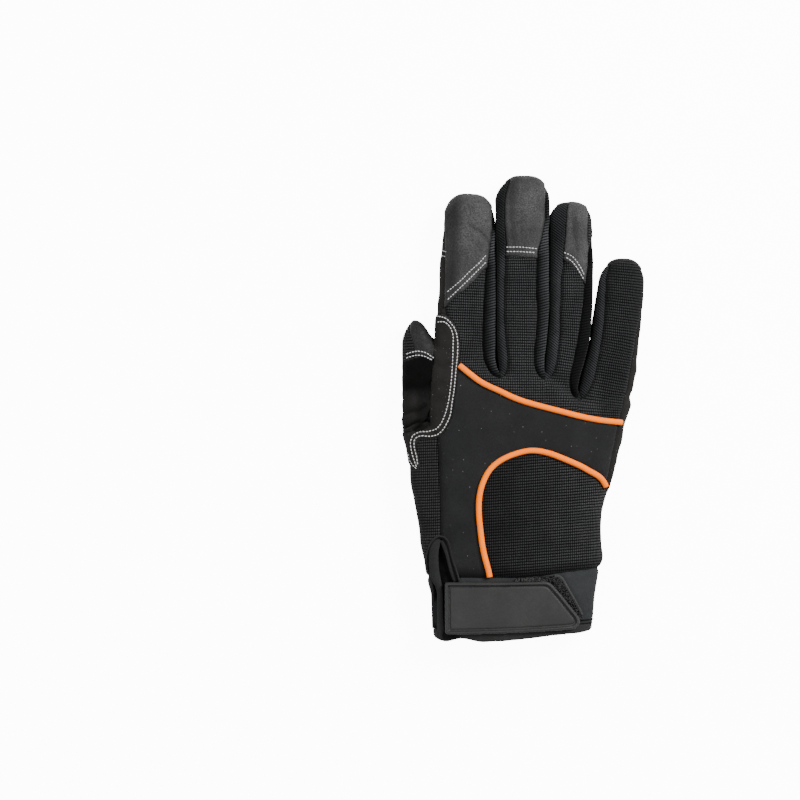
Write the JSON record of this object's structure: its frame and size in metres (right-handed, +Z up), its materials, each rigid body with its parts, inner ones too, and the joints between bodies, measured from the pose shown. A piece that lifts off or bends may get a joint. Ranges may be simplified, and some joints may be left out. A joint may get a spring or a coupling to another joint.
{
  "type": "mechanic glove",
  "caption": "Right-hand work glove lying palm down: knit back with piping, foam knuckle panel, leather fingertips, suede palm and thumb, wrist strap with a moulded tab",
  "frame": {"origin": "below the middle of the glove, on the surface it lies on", "axes": "+Y towards the fingertips, +X towards the little finger, +Z up from the palm to the back of the hand"},
  "size_m": [0.1286, 0.2462, 0.0301],
  "materials": {
    "knit": "knitted, grey threads on black",
    "suede": "brushed synthetic suede, brownish black",
    "leather": "fine-grained, semi-matte, dark grey",
    "foam_cloth": "smooth, foam-backed, bluish black",
    "piping": "bright orange, matte",
    "stretch_band": "smooth stretch cloth",
    "binding": "woven tape",
    "hook_tape": "fuzzy",
    "strap_rubber": "moulded, matte, dark grey"
  },
  "bodies": {
    "root": {"index_tip_cap": "leather", "middle_tip_cap": "leather", "ring_tip_cap": "leather", "little_tip_cap": "leather", "thumb_tip_cap": "leather", "side_strip_index_middle": "knit", "side_strip_middle_ring": "knit", "side_strip_ring_little": "knit", "thumb_leather": "suede", "thumb_knit": "knit", "cuff": "stretch_band", "cuff_hem": "binding", "knuckle_panel": "foam_cloth", "wrist_knit": "knit", "back_knit": "knit", "palm": "suede", "upper_piping": "piping", "lower_piping": "piping", "crotch_patch": "suede", "palm_patch_index": "suede", "palm_patch_outer": "suede", "palm_patch_heel": "suede", "strap_base": "hook_tape", "strap_tab": "strap_rubber", "vent_binding": "binding", "vent_gusset": "foam_cloth"}
  },
  "joints": []
}
